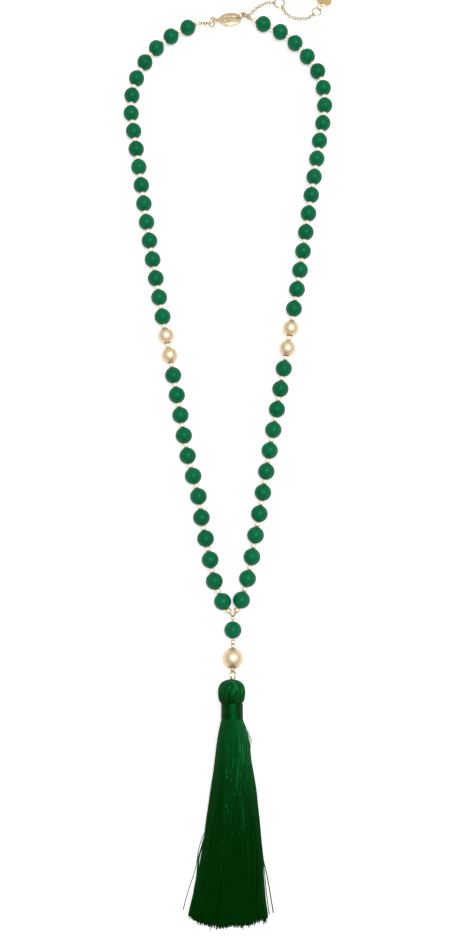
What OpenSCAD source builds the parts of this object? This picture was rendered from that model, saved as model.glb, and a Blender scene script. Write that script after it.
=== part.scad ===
// A long bead necklace with a tassel, lying on a flat surface at its real size in millimetres.
// +Y runs from the tassel to the clasp, +Z is up, and the origin is the centre of the footprint.

/* [Strand beads] */
// Diameter of a bead in the two strands
bead_d = 8.3; // [7.2:0.05:8.4]
// Hole through a strand bead
bead_bore = 1.3; // [1.1:0.1:1.6]
// Diameter of a flattened spacer bead
spacer_d = 3.2; // [2.9:0.05:3.4]
// Length of a spacer bead along the strand
spacer_l = 2.25; // [2:0.05:2.4]
// Hole through a spacer bead
spacer_bore = 1.5; // [1.3:0.1:1.7]
// Smallest gap between a bead and the next spacer
bead_gap = 0.12; // [0.11:0.01:0.4]
// Green beads between the drop and the first gold bead of a strand
greens_below_gold = 12; // [4:1:18]
// Width of the dished rim round a gold bead's hole
dish_d = 2.4; // [2:0.1:2.8]
// Diameter of the beading thread
thread_d = 0.5; // [0.3:0.05:0.6]

/* [Drop] */
// Diameter of the gold bead above the tassel
drop_gold_d = 10; // [9:0.1:11]
// Width of the dished rims of the gold drop bead
drop_dish_d = 3.2; // [3:0.1:3.6]
// Radius of a pin's end loop, to the middle of its wire
loop_r = 1.1; // [1.05:0.05:1.3]
// Diameter of the pins' wire
pin_wire = 0.5; // [0.4:0.05:0.55]
// Straight stem between the green drop bead and each of its loops
green_stem = 0.65; // [0.6:0.05:1.2]
// Distance from the gold drop bead's top to the middle of its upper loop
gold_loop_out = 1.05; // [0.9:0.05:1.5]
// Distance from the gold drop bead's foot to the middle of its lower loop
gold_loop_in = 0.45; // [0.4:0.05:1]
// Radius of the tassel's ring, to the middle of its wire
tassel_ring_r = 2.2; // [2:0.05:2.6]
// Turn of the tassel's ring out of the horizontal
tassel_ring_turn = 60; // [30:5:60]

/* [Tassel] */
// Length from the tassel's top to its longest strands
tassel_l = 112.6; // [90:0.5:130]
// Length of the rounded head above the winding
head_l = 11.7; // [10:0.1:14]
// Width of the head
head_w = 12.8; // [11.6:0.1:14]
// Outer diameter of the winding
wrap_d = 10.4; // [9:0.1:11]
// Length of the winding
wrap_l = 7.2; // [5:0.1:9]
// Thickness of the winding
wrap_t = 0.6; // [0.4:0.05:1]
// Width of the skirt at its foot
skirt_w = 35.6; // [28:0.2:44]
// Height of the skirt where it leaves the winding
skirt_h = 10; // [8:0.1:12]
// Number of locks across the skirt
lock_count = 13; // [9:1:15]

/* [Clasp] */
// Length of the lobster clasp without its tail ring
clasp_l = 13.6; // [12.6:0.1:15]
// Width of the clasp
clasp_w = 7.6; // [7:0.1:8.4]
// Thickness of the clasp
clasp_t = 2.9; // [2.8:0.1:3.6]
// Width of the slot between the hook's two arms
slot_w = 1.65; // [1.3:0.05:1.7]
// Diameter of the round seat in the nose, where the ring rides
seat_d = 2; // [1.8:0.05:2.2]
// Metal left between the seat and the nose
nose_wall = 1.1; // [0.9:0.05:1.4]
// Radius of the tail ring, to the middle of its wire
tail_r = 1.25; // [1.2:0.05:1.5]
// Diameter of the tail ring's wire
tail_wire = 0.9; // [0.7:0.05:1]
// Diameter of the lever's pin
pivot_d = 0.8; // [0.6:0.05:1]
// Radius of the cheeks round the pin
cheek_r = 1.45; // [1.3:0.05:1.6]
// Distance from the pin to the lever's tip
lever_reach = 5.1; // [4.6:0.05:5.4]
// Running gap round the lever
lever_gap = 0.14; // [0.1:0.01:0.2]

/* [Rings and chains] */
// Diameter of the jump rings' wire
ring_wire = 0.8; // [0.6:0.05:0.8]
// Radius of the ring in the clasp's tail, to the middle of its wire
clasp_ring_r = 2.4; // [2.2:0.05:2.8]
// Radius of the ring that the clasp hooks into, to the middle of its wire
end_ring_r = 2.35; // [2.2:0.05:2.8]
// Radius of the ring between the extender's two chains
inner_ring_r = 2.8; // [2.4:0.05:3.2]
// Radius of the ring at the extender's end
outer_ring_r = 2.45; // [2.2:0.05:2.8]
// Wire of the ring at the extender's end
outer_wire = 0.65; // [0.5:0.05:0.8]
// Usual step from one chain link to the next
link_step = 1.45; // [1.35:0.01:1.7]
// Outer width of a chain link
link_w = 2; // [1.9:0.05:2.4]
// Diameter of a chain link's wire
link_wire = 0.4; // [0.3:0.02:0.44]
// Gap left where two links meet
link_gap = 0.08; // [0.06:0.01:0.12]
// Radius of the strands' end loops, to the middle of the wire
end_loop_r = 0.8; // [0.75:0.01:1]

/* [Tag] */
// Diameter of the plain tag
tag_d = 8.6; // [7:0.1:10]
// Thickness of the tag
tag_t = 0.8; // [0.6:0.05:1]
// Hole in the tag
tag_hole = 1.5; // [1.4:0.05:1.8]
// Metal between the tag's hole and its edge
tag_rim = 0.5; // [0.4:0.05:0.8]
// Radius of the tag's link, to the middle of its wire
tag_link_r = 2.2; // [2.1:0.05:2.4]
// Wire of the tag's link
tag_wire = 0.55; // [0.4:0.05:0.6]
// Lean of the tag's link out of the upright
tag_lean = 25; // [10:1:28]

/* [Hidden] */
$fn = 32;

// Colours of the finishes
bead_green = [0.02, 0.42, 0.25];
silk_green = [0.01, 0.3, 0.14];
gold = [0.86, 0.72, 0.5];
wire_gold = [0.9, 0.78, 0.58];

// Route of each strand, from the drop up to the clasp
left_route = [[-0.7, -101.3], [-3.6, -96.7], [-7.6, -87], [-9.8, -76], [-14.1, -55.4], [-15.7, -44.5],
    [-21.2, -24], [-25.1, -2.5], [-29, 18.5], [-32.9, 39.5], [-38.8, 72], [-44.2, 104], [-48.9, 136],
    [-52, 156.5], [-53.6, 167.5], [-53.4, 178.3], [-51.2, 188.4], [-47, 198.1], [-40.9, 207], [-33, 214.4],
    [-23.7, 220], [-18.5, 222.5]];
right_route = [[3.4, -101], [5.6, -96], [8.6, -85.5], [12.6, -64.2], [16.4, -42.6], [19.9, -21.2],
    [23.8, 0.4], [27.5, 22.2], [31.4, 44], [34.9, 65.6], [38.4, 87.2], [41.6, 108.5], [45, 130],
    [48.3, 151.4], [51, 167], [51.5, 175], [50.6, 184.5], [48.1, 193], [43, 201.5], [35.9, 210.5],
    [27.9, 217.5], [18.6, 222.4], [13.5, 224.4]];

// Place where the drop hangs from the thread
junction = [1.4, -104.6];

// Middle of the clasp, the way it points, and how the rings at its ends lift it
clasp_at = [-0.4, 226.9];
clasp_turn = 2.5;
clasp_rise = 2;
clasp_lift = 0.43;

// Places on the surface that the extender passes through
inner_chain_route = [[10, 230.2], [12.3, 232.2], [15.3, 235.1], [18.4, 237.2], [21.2, 238.3]];
inner_ring_at = [27.6, 238.1];
outer_chain_route = [[31.5, 231.7], [33.5, 229.8], [36.8, 228.5], [40, 228.1], [43.2, 228.5], [45, 229.6]];
outer_ring_at = [48.4, 232.6];
tag_way = 58;

// General curve and vector helpers
function unit(v) = v / norm(v);
function flat_angle(v) = atan2(v[1], v[0]);
function rise(v) = asin(v[2] / norm(v));
function on_floor(p, z) = [p[0], p[1], z];
function around(angle) = [cos(angle), sin(angle), 0];
function slope(p, i) =
    i == 0 ? unit(p[1] - p[0]) :
    i == len(p) - 1 ? unit(p[i] - p[i - 1]) :
    let (a = norm(p[i] - p[i - 1]), b = norm(p[i + 1] - p[i]))
    ((p[i] - p[i - 1]) * (b / a) + (p[i + 1] - p[i]) * (a / b)) / (a + b);
function bend(p, i, t) =
    let (d = norm(p[i + 1] - p[i]), m0 = slope(p, i) * d, m1 = slope(p, i + 1) * d)
    (2 * t ^ 3 - 3 * t ^ 2 + 1) * p[i] + (t ^ 3 - 2 * t ^ 2 + t) * m0
    + (3 * t ^ 2 - 2 * t ^ 3) * p[i + 1] + (t ^ 3 - t ^ 2) * m1;
function smooth(p, parts) = concat(
    [for (i = [0 : len(p) - 2]) for (j = [0 : parts - 1]) bend(p, i, j / parts)], [p[len(p) - 1]]);
function run(c) = [for (i = 0, s = 0; i < len(c);
    s = i + 1 < len(c) ? s + norm(c[i + 1] - c[i]) : s, i = i + 1) s];
function total(c) = let (s = run(c)) s[len(s) - 1];
function spread(c, marks) =
    let (s = run(c), axes = [for (k = [0 : 2]) [for (i = [0 : len(c) - 1]) [s[i], c[i][k]]]])
    [for (m = marks) [for (k = [0 : 2]) lookup(m, axes[k])]];

// Where the beads' free play lies: share of the strand from the drop up, share of the play below it
left_slack = [[0, 0], [1, 1]];
right_slack = [[0, 0], [0.3, 0.44], [0.45, 0.74], [0.62, 0.92], [0.78, 1], [1, 1]];

// Beads and spacers take turns along the strand, a spacer at each end
gold_run = 2;
bead_z = bead_d / 2;
spacer_half = spacer_l / 2;
half_step = spacer_half + sqrt((bead_d / 2 + bead_gap) ^ 2 - (spacer_bore / 2) ^ 2);
curve_parts = 8;
function strand(route, slack_table) =
    let (c = smooth([for (p = route) on_floor(p, bead_z)], curve_parts), l = total(c),
        n = floor(l / (2 * half_step)), slack = l - 2 * n * half_step)
    spread(c, [for (i = [0 : 2 * n]) i * half_step + slack * lookup(i / n / 2, slack_table)]);
left_strand = strand(left_route, left_slack);
right_strand = strand(right_route, right_slack);
function beads_in(s) = (len(s) - 1) / 2;
function strand_way(s, i) = unit(s[min(i + 1, len(s) - 1)] - s[max(i - 1, 0)]);
function is_gold(k) = k >= greens_below_gold && k < greens_below_gold + gold_run;

// Drop: two pins in line, tilted a little because the two beads differ in size
drop_gap = 0.1;
green_reach = bead_d / 2 + green_stem + loop_r;
gold_reach_up = drop_gold_d / 2 + gold_loop_out;
gold_reach_down = drop_gold_d / 2 + gold_loop_in;
gold_z = drop_gold_d / 2;
pin_tilt = asin((gold_z - bead_z) / (green_reach + gold_reach_up));
loop_step = 2 * loop_r - pin_wire - drop_gap;
drop_x = junction[0];
pin_way = [0, -cos(pin_tilt), sin(pin_tilt)];
green_drop_at = [drop_x, junction[1] - green_reach * cos(pin_tilt), bead_z];
lower_green_loop = green_drop_at + green_reach * pin_way;
upper_gold_loop = lower_green_loop - [0, loop_step, 0];
gold_drop_at = [drop_x, upper_gold_loop[1] - gold_reach_up * cos(pin_tilt), gold_z];
lower_gold_loop = gold_drop_at + gold_reach_down * pin_way;
ring_hang = loop_r - pin_wire / 2 - ring_wire / 2 - drop_gap;
tassel_ring_at = lower_gold_loop - [0, ring_hang + tassel_ring_r, 0];

// Tassel: head, winding and skirt follow each other down from the ring
ring_bite = 0.9;
silk_gap = 0.15;
tassel_shift = 0.4;
wrap_lift = 0.4;
tassel_x = drop_x - tassel_shift;
head_top_y = tassel_ring_at[1] - tassel_ring_r + ring_bite;
head_z = head_w / 2;
wrap_z = wrap_d / 2 + wrap_lift;
neck_r = wrap_d / 2 - wrap_t - silk_gap;
wrap_y = head_top_y - head_l;
skirt_y = wrap_y - wrap_l;
skirt_l = tassel_l - head_l - wrap_l;

// Head sections: share of the head's length, share of its width
ALONG = 0;
WIDE = 1;
head_table = [[0, 0.14], [0.04, 0.42], [0.12, 0.68], [0.22, 0.85], [0.36, 0.96], [0.54, 1], [0.75, 0.98],
    [0.9, 0.93], [1, 0.8]];

// Skirt sections: share of its length, its reach to the left and right as shares of half its width,
// and the share of its height
LEFT = 1;
RIGHT = 2;
TALL = 3;
skirt_table = [[0, 0.28, 0.28, 0.95], [0.03, 0.32, 0.34, 1], [0.11, 0.4, 0.48, 0.98],
    [0.26, 0.5, 0.57, 0.88], [0.42, 0.62, 0.69, 0.77], [0.57, 0.74, 0.78, 0.67], [0.72, 0.9, 0.83, 0.58],
    [0.87, 1.02, 0.88, 0.52], [0.95, 1.05, 0.95, 0.44]];
skirt_foot = [1.06, 0.97, 0.4];

// Lock ends: share of the skirt's length that each lock falls short of the longest one
lock_short = [0.055, 0.042, 0.03, 0.022, 0.018, 0.004, 0, 0.01, 0.006, 0.02, 0.024, 0.04, 0.05];

// Clasp outline, from the tail round over the top: shares of half the length and half the width
clasp_outline = [[-1, 0.14], [-0.8, 0.42], [-0.45, 0.8], [-0.05, 0.98], [0.35, 0.98], [0.7, 0.8],
    [0.93, 0.42], [1, 0], [0.93, -0.4], [0.68, -0.75], [0.3, -0.94], [-0.08, -1], [-0.42, -0.86],
    [-0.75, -0.48], [-1, -0.14]];
outline_parts = 3;
dome_drop = 0.28;
dome_sides = 240;
pivot_at = [-0.26 * clasp_l / 2, -0.54 * clasp_w / 2];
pivot_play = 0.05;
tab_r = 0.5;
tab_h = 0.6 * clasp_t;
heel_t = clasp_t / 3;
seat_x = clasp_l / 2 - nose_wall - seat_d / 2;
tail_x = -clasp_l / 2 - tail_r;
neck_wire = 1.3;
in_clasp = 0.9;
seat_play = 0.4;

clasp_mid = on_floor(clasp_at, clasp_lift + clasp_t / 2);
function clasp_point(x) =
    clasp_mid + x * (cos(clasp_rise) * around(clasp_turn) + [0, 0, sin(clasp_rise)]);

// A leaning ring touches the surface and passes upright through its hook point
function ring_low(tilt, way) = [cos(tilt) * cos(way), cos(tilt) * sin(way), -sin(tilt)];
function ring_across(way) = [-sin(way), cos(way), 0];
function ring_middle(hook, r, wire, tilt, way, side) =
    let (c = (r * sin(tilt) + wire / 2 - hook[2]) / (r * sin(tilt)))
    hook - r * (c * ring_low(tilt, way) + side * sqrt(1 - c * c) * ring_across(way));
function on_ring(middle, r, tilt, way, phase) =
    middle + r * (cos(phase) * ring_low(tilt, way) + sin(phase) * ring_across(way));

clasp_ring_tilt = 67;
clasp_ring_way = -28;
clasp_ring_at = ring_middle(clasp_point(tail_x), clasp_ring_r, ring_wire, clasp_ring_tilt,
    clasp_ring_way, 1);
end_ring_tilt = 90;
end_ring_way = -55;
end_ring_at = ring_middle(clasp_point(seat_x - seat_play), end_ring_r, ring_wire, end_ring_tilt, end_ring_way, -1);

// Strand ends: a stem in the last spacer, a loop, then links to the ring
stem_l = 0.3;
function strand_end(s) = s[len(s) - 1] + spacer_half * strand_way(s, len(s) - 1);
left_hook = on_ring(clasp_ring_at, clasp_ring_r, clasp_ring_tilt, clasp_ring_way, -120);
right_hook = on_ring(end_ring_at, end_ring_r, end_ring_tilt, end_ring_way, 104);
extender_hook = on_ring(end_ring_at, end_ring_r, end_ring_tilt, end_ring_way, 66);
function loop_middle(s, hook) =
    let (m = strand_end(s)) m + (stem_l + end_loop_r) * unit(hook - m);
function loop_tip(s, hook) =
    let (m = strand_end(s)) m + (stem_l + 2 * end_loop_r) * unit(hook - m);

// Chains lie on the surface, their links half as high as they are wide
chain_z = link_w / 2 + link_gap / 2;
inner_ring_mid = on_floor(inner_ring_at, chain_z);
outer_ring_mid = on_floor(outer_ring_at, chain_z);
inner_chain_pts = [for (p = inner_chain_route) on_floor(p, chain_z)];
outer_chain_pts = [for (p = outer_chain_route) on_floor(p, chain_z)];
function ring_side(middle, r, towards) = middle + r * unit(towards - middle);
inner_chain_curve = concat([extender_hook], inner_chain_pts,
    [ring_side(inner_ring_mid, inner_ring_r, inner_chain_pts[len(inner_chain_pts) - 1])]);
outer_chain_curve = concat([ring_side(inner_ring_mid, inner_ring_r, outer_chain_pts[0])], outer_chain_pts,
    [ring_side(outer_ring_mid, outer_ring_r, outer_chain_pts[len(outer_chain_pts) - 1])]);

// Tag: its link leans on the end ring, and the tag leans on the link
tag_dir = around(tag_way);
tag_link_z = tag_link_r * cos(tag_lean) + tag_wire / 2;
tag_link_in = tag_link_r - tag_wire / 2 - outer_wire / 2 / cos(tag_lean) - link_gap;
tag_link_fall = (tag_link_z - chain_z) / cos(tag_lean);
tag_link_out = outer_ring_r + sqrt(tag_link_in ^ 2 - tag_link_fall ^ 2);
tag_link_at = on_floor(outer_ring_at + tag_link_out * [tag_dir[0], tag_dir[1]], tag_link_z);
tag_hole_at = tag_link_at + tag_link_r * tag_dir;
tag_hole_in = tag_d / 2 - tag_rim - tag_hole / 2;
tag_tilt = asin((tag_link_z - tag_t / 2) / (tag_hole_in + tag_d / 2));

module torus(r, wire) {
    rotate_extrude() translate([r, 0]) circle(d = wire);
}

// A bead is drilled along X; a dish opens each mouth of a gold one
module bead(d, bore, dish) {
    rotate([0, 90, 0]) difference() {
        sphere(d = d);
        cylinder(d = bore, h = d + 1, center = true);
        if (dish > 0) for (side = [-1, 1]) translate([0, 0, side * d / 2]) sphere(d = dish);
    }
}

module on_strand(s, i) {
    translate(s[i]) rotate([0, 0, flat_angle(strand_way(s, i))]) children();
}

module green_beads(s) {
    color(bead_green) for (k = [0 : beads_in(s) - 1])
        if (!is_gold(k)) on_strand(s, 2 * k + 1) bead(bead_d, bead_bore, 0);
}

module gold_bead(s, k) {
    color(gold) on_strand(s, 2 * (greens_below_gold + k) + 1) bead(bead_d, bead_bore, dish_d);
}

// A spacer is a drilled ball with flat ends
module spacer() {
    rotate([0, 90, 0]) difference() {
        intersection() {
            sphere(d = spacer_d);
            cylinder(d = spacer_d + 1, h = spacer_l, center = true);
        }
        cylinder(d = spacer_bore, h = spacer_d + 1, center = true);
    }
}

module spacers(s) {
    color(wire_gold) for (k = [0 : beads_in(s)]) on_strand(s, 2 * k) spacer();
}

// The thread is one line through both strands and the drop's upper loop
thread_sides = 6;
thread_parts = 4;
thread_low = on_floor(junction, green_drop_at[2] - green_reach * sin(pin_tilt))
    + [0, loop_r - pin_wire / 2 - thread_d / 2 - drop_gap, 0];
function last_inside(s) = s[len(s) - 1];
function mouth(s) = s[0] - spacer_half * strand_way(s, 0);
function back(list) = [for (i = [len(list) - 1 : -1 : 0]) list[i]];
thread_line = concat(back(left_strand),
    [for (p = smooth([mouth(left_strand), thread_low, mouth(right_strand)], thread_parts)) p], right_strand);
function ring_at(line, i, r, sides) =
    let (t = strand_way(line, i), side = unit(cross([0, 0, 1], t)), up = cross(t, side))
    [for (a = [0 : sides - 1]) line[i] + r * (cos(a * 360 / sides) * side + sin(a * 360 / sides) * up)];

module sweep(line, d, sides) {
    rings = len(line);
    points = [for (i = [0 : rings - 1]) each ring_at(line, i, d / 2, sides)];
    skin = [for (i = [0 : rings - 2]) for (a = [0 : sides - 1])
        let (b = (a + 1) % sides) [i * sides + a, (i + 1) * sides + a, (i + 1) * sides + b, i * sides + b]];
    start = [for (a = [0 : sides - 1]) a];
    end = [for (a = [sides - 1 : -1 : 0]) (rings - 1) * sides + a];
    polyhedron(points, concat(skin, [start, end]), convexity = 10);
}

module thread() {
    color(wire_gold) sweep(thread_line, thread_d, thread_sides);
}

// Chain links are rings of wire, drawn a little long, that turn a quarter from one to the next
module link(stretch) {
    scale([stretch, 1, 1]) torus((link_w - link_wire) / 2, link_wire);
}

module along(from, to, roll) {
    way = to - from;
    translate((from + to) / 2) rotate([0, -rise(way), flat_angle(way)]) rotate([roll, 0, 0]) children();
}

// Links fill a curve between two round wires, whose middles are the curve's ends
module chain(points, wire_a, wire_b, roll_a, roll_b) {
    curve = smooth(points, curve_parts);
    slack = wire_a / 2 + wire_b / 2 + link_gap;
    count = max(1, round((total(curve) + slack) / link_step));
    step = (total(curve) + slack) / count;
    stretch = (step + link_gap) / (link_w - 2 * link_wire);
    first = (step - link_gap - wire_a) / 2;
    turns = count > 1 ? (roll_b - roll_a + 180 * round(((count - 1) * 90 - roll_b + roll_a) / 180)) : 0;
    for (k = [0 : count - 1]) {
        middle = first + k * step;
        ends = spread(curve, [max(0, middle - step / 2), min(total(curve), middle + step / 2)]);
        place = spread(curve, [middle])[0];
        half = unit(ends[1] - ends[0]) / 2;
        along(place - half, place + half, roll_a + turns * k / max(1, count - 1))
            link(stretch);
    }
}

// A strand's end loop has a short stem that goes into the last spacer
module end_links(s, hook, roll_loop, roll_a, roll_b) {
    color(wire_gold) {
        m = loop_middle(s, hook);
        way = unit(hook - m);
        along(m - way / 2, m + way / 2, roll_loop) {
            torus(end_loop_r, link_wire);
            translate([-end_loop_r, 0, 0]) rotate([0, -90, 0]) cylinder(d = link_wire, h = 2 * stem_l);
        }
        chain([loop_tip(s, hook), hook], link_wire, ring_wire, roll_a, roll_b);
    }
}

module clasp_ring() {
    color(gold) translate(clasp_ring_at) rotate([0, clasp_ring_tilt, clasp_ring_way])
        torus(clasp_ring_r, ring_wire);
}

module end_ring() {
    color(gold) translate(end_ring_at) rotate([0, end_ring_tilt, end_ring_way]) torus(end_ring_r, ring_wire);
}

module at_clasp() {
    translate(clasp_mid) rotate([0, -clasp_rise, clasp_turn]) translate([0, 0, -clasp_t / 2]) children();
}

module clasp_shape() {
    scaled = [for (p = clasp_outline) [p[0] * clasp_l / 2, p[1] * clasp_w / 2]];
    polygon(smooth(scaled, outline_parts));
}

// The clasp's two faces are slightly domed
module dome() {
    drop = dome_drop * clasp_t;
    r = ((clasp_l / 2) ^ 2 + drop ^ 2) / (2 * drop);
    intersection() {
        translate([0, 0, clasp_t - r]) sphere(r = r, $fn = dome_sides);
        translate([0, 0, r]) sphere(r = r, $fn = dome_sides);
        children();
    }
}

module lever_zone(reach) {
    intersection() {
        translate([pivot_at[0], -clasp_w]) square([lever_reach + 1, clasp_w - slot_w / 2]);
        translate(pivot_at) circle(r = reach);
    }
}

module clasp_body() {
    color(gold) at_clasp() {
        difference() {
            dome() linear_extrude(clasp_t) difference() {
                clasp_shape();
                translate([pivot_at[0], -slot_w / 2]) square([seat_x - pivot_at[0], slot_w]);
                translate([pivot_at[0], 0]) circle(d = slot_w);
                translate([seat_x, 0]) circle(d = seat_d);
                difference() {
                    lever_zone(lever_reach);
                    translate(pivot_at) circle(r = cheek_r);
                }
            }
            translate([pivot_at[0], pivot_at[1], clasp_t / 2])
                cylinder(r = cheek_r + lever_gap, h = heel_t + 2 * lever_gap, center = true);
            translate([pivot_at[0], pivot_at[1], -1]) cylinder(d = pivot_d + 2 * pivot_play, h = clasp_t + 2);
        }
        translate([tail_x, 0, clasp_t / 2]) torus(tail_r, tail_wire);
        translate([tail_x + tail_r, 0, clasp_t / 2]) rotate([0, 90, 0]) cylinder(d = neck_wire, h = in_clasp);
    }
}

module clasp_lever() {
    color(wire_gold) at_clasp() difference() {
        union() {
            dome() linear_extrude(clasp_t) difference() {
                intersection() {
                    clasp_shape();
                    translate([lever_gap, 0]) lever_zone(lever_reach);
                    translate(pivot_at) circle(r = lever_reach - lever_gap);
                }
                translate(pivot_at) circle(r = cheek_r + lever_gap);
            }
            translate([0, 0, (clasp_t - tab_h) / 2]) linear_extrude(tab_h) difference() {
                translate([pivot_at[0] + cheek_r, -clasp_w / 2 + tab_r / 2]) circle(r = tab_r);
                translate(pivot_at) circle(r = cheek_r + lever_gap);
            }
            translate([0, 0, (clasp_t - heel_t) / 2]) linear_extrude(heel_t) union() {
                translate(pivot_at) circle(r = cheek_r);
                intersection() {
                    clasp_shape();
                    translate([lever_gap, 0]) lever_zone(cheek_r + 1);
                }
            }
        }
        translate([pivot_at[0], pivot_at[1], -1]) cylinder(d = pivot_d + 4 * pivot_play, h = clasp_t + 2);
    }
}

module clasp_pivot() {
    pin_h = clasp_t * (1 - dome_drop / 2);
    color(gold) at_clasp() translate([pivot_at[0], pivot_at[1], (clasp_t - pin_h) / 2])
        cylinder(d = pivot_d, h = pin_h);
}

module extender_ring(middle, r, wire) {
    color(gold) translate(middle) torus(r, wire);
}

module tag_link() {
    color(gold) translate(tag_link_at) rotate([0, 0, tag_way]) rotate([90 - tag_lean, 0, 0])
        torus(tag_link_r, tag_wire);
}

// The tag leans on its link, its far edge on the surface
module tag() {
    color(gold) translate(tag_hole_at) rotate([0, tag_tilt, tag_way]) difference() {
        translate([tag_hole_in, 0, 0]) cylinder(d = tag_d, h = tag_t, center = true);
        cylinder(d = tag_hole, h = tag_t + 1, center = true);
    }
}

module on_drop(place) {
    translate(place) rotate([0, -pin_tilt, -90]) children();
}

module drop_bead(place, d, dish, paint) {
    color(paint) on_drop(place) bead(d, bead_bore, dish);
}

// A drop pin is a straight wire with a loop turned at each end
module drop_pin(place, reach_up, reach_down, turn_up, turn_down) {
    color(wire_gold) on_drop(place) {
        translate([-reach_up, 0, 0]) rotate([turn_up, 0, 0]) torus(loop_r, pin_wire);
        translate([reach_down, 0, 0]) rotate([turn_down, 0, 0]) torus(loop_r, pin_wire);
        translate([loop_r - reach_up, 0, 0]) rotate([0, 90, 0])
            cylinder(d = pin_wire, h = reach_up + reach_down - 2 * loop_r);
    }
}

module tassel_ring() {
    color(gold) translate(tassel_ring_at) rotate([0, tassel_ring_turn, 0]) torus(tassel_ring_r, ring_wire);
}

// A thin oval slice across the tassel, for the hulls
slice_t = 0.02;
body_sides = 20;
lock_sides = 8;
module slice(x, y, z, half_w, half_h, sides) {
    translate([x, y, z]) rotate([90, 0, 0]) scale([half_w, half_h, 1])
        cylinder(r = 1, h = slice_t, center = true, $fn = sides);
}

module head_slice(row) {
    half = row[WIDE] * head_w / 2;
    slice(tassel_x, head_top_y - row[ALONG] * head_l, max(half, head_z + (wrap_z - head_z) * row[ALONG]), half,
        half, body_sides);
}

function skirt_left(row) = row[LEFT] * skirt_w / 2;
function skirt_right(row) = row[RIGHT] * skirt_w / 2;
function skirt_top(row) = row[TALL] * skirt_h;

// The body of the skirt lies a little inside the locks that cover it
body_share = 0.93;
module skirt_slice(row) {
    l = skirt_left(row) * body_share;
    r = skirt_right(row) * body_share;
    h = skirt_top(row) * body_share / 2;
    slice(tassel_x + (r - l) / 2, skirt_y - silk_gap - row[ALONG] * skirt_l, h + floor_lift(row), (l + r) / 2,
        h, body_sides);
}

// The skirt hangs level with the winding at its top and comes down to the surface
level_share = 0.05;
floor_gap = 0.05;
function floor_lift(row) = row[ALONG] < level_share ? wrap_lift : floor_gap;

// Locks: shares of their room, of the skirt's height and of their own size
lock_fill = 0.72;
lock_thin = 0.16;
lock_inset = 0.6;
lock_spread = 0.9;
lock_sink = 0.99;
lock_tip = 0.35;
function lock_place(k) = -1 + 2 * (k + 0.5) / lock_count;
function lock_end(k) = 1 - lock_short[floor(k * len(lock_short) / lock_count)];
module lock_slice(row, k, size) {
    u = lock_place(k);
    l = skirt_left(row);
    r = skirt_right(row);
    half = (l + r) / lock_count * lock_fill;
    high = max(half, skirt_top(row) * lock_thin);
    x = tassel_x + (r - l) / 2 + u * ((l + r) / 2 - half * lock_inset);
    top = skirt_top(row) * sqrt(1 - (u * lock_spread) ^ 2);
    z = max(high * size, top / 2 + (top / 2 - high) * lock_sink);
    slice(x, skirt_y - silk_gap - row[ALONG] * skirt_l, z + floor_lift(row), half * size, high * size,
        lock_sides);
}

// A lock runs down the skirt table and tapers to its own end
module lock(k) {
    rows = concat(skirt_table, [concat(lock_end(k), skirt_foot)]);
    for (i = [0 : len(rows) - 2]) hull() {
        lock_slice(rows[i], k, 1);
        lock_slice(rows[i + 1], k, i == len(rows) - 2 ? lock_tip : 1);
    }
}

neck_in = 0.5;
groove_sides = 24;
module tassel() {
    color(silk_green) difference() {
        union() {
            for (i = [0 : len(head_table) - 2]) hull() {
                head_slice(head_table[i]);
                head_slice(head_table[i + 1]);
            }
            translate([tassel_x, wrap_y + neck_in, wrap_z]) rotate([90, 0, 0])
                cylinder(r = neck_r, h = wrap_l + 2 * neck_in, $fn = body_sides);
            for (i = [0 : len(skirt_table) - 2]) hull() {
                skirt_slice(skirt_table[i]);
                skirt_slice(skirt_table[i + 1]);
            }
            for (k = [0 : lock_count - 1]) lock(k);
        }
        translate(tassel_ring_at) rotate([0, tassel_ring_turn, 0]) rotate_extrude($fn = groove_sides)
            translate([tassel_ring_r, 0]) circle(d = ring_wire + 2 * silk_gap, $fn = lock_sides);
    }
}

module tassel_wrap() {
    edge = wrap_t / 2;
    outer = wrap_d / 2;
    inner = outer - wrap_t;
    length = wrap_l - 2 * silk_gap;
    color(silk_green) translate([tassel_x, wrap_y - silk_gap, wrap_z]) rotate([90, 0, 0]) rotate_extrude()
        polygon([[inner, 0], [outer - edge, 0], [outer, edge], [outer, length - edge],
            [outer - edge, length], [inner, length]]);
}

green_beads(left_strand);  // green_beads_left
green_beads(right_strand);  // green_beads_right
gold_bead(left_strand, 0);  // gold_bead_lower_left
gold_bead(left_strand, 1);  // gold_bead_upper_left
gold_bead(right_strand, 0);  // gold_bead_lower_right
gold_bead(right_strand, 1);  // gold_bead_upper_right
spacers(left_strand);  // spacers_left
spacers(right_strand);  // spacers_right
thread();
end_links(left_strand, left_hook, 53, -37, -37);  // end_links_left
end_links(right_strand, right_hook, 90, 0, 0);  // end_links_right
clasp_ring();
clasp_body();
clasp_lever();
clasp_pivot();
end_ring();
color(gold) chain(inner_chain_curve, ring_wire, ring_wire, 0, 90);  // extender_chain_inner
color(gold) chain(outer_chain_curve, ring_wire, outer_wire, 90, 90);  // extender_chain_outer
extender_ring(inner_ring_mid, inner_ring_r, ring_wire);  // extender_ring_inner
extender_ring(outer_ring_mid, outer_ring_r, outer_wire);  // extender_ring_outer
tag_link();
tag();
drop_bead(green_drop_at, bead_d, 0, bead_green);  // green_drop_bead
drop_pin(green_drop_at, green_reach, green_reach, 90, 0);  // green_drop_pin
drop_bead(gold_drop_at, drop_gold_d, drop_dish_d, gold);  // gold_drop_bead
drop_pin(gold_drop_at, gold_reach_up, gold_reach_down, 90, 90 - tassel_ring_turn);  // gold_drop_pin
tassel_ring();
tassel();
tassel_wrap();
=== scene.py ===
import math
import random

import bmesh
import bpy
import numpy as np
from mathutils import Matrix, Vector


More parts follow.
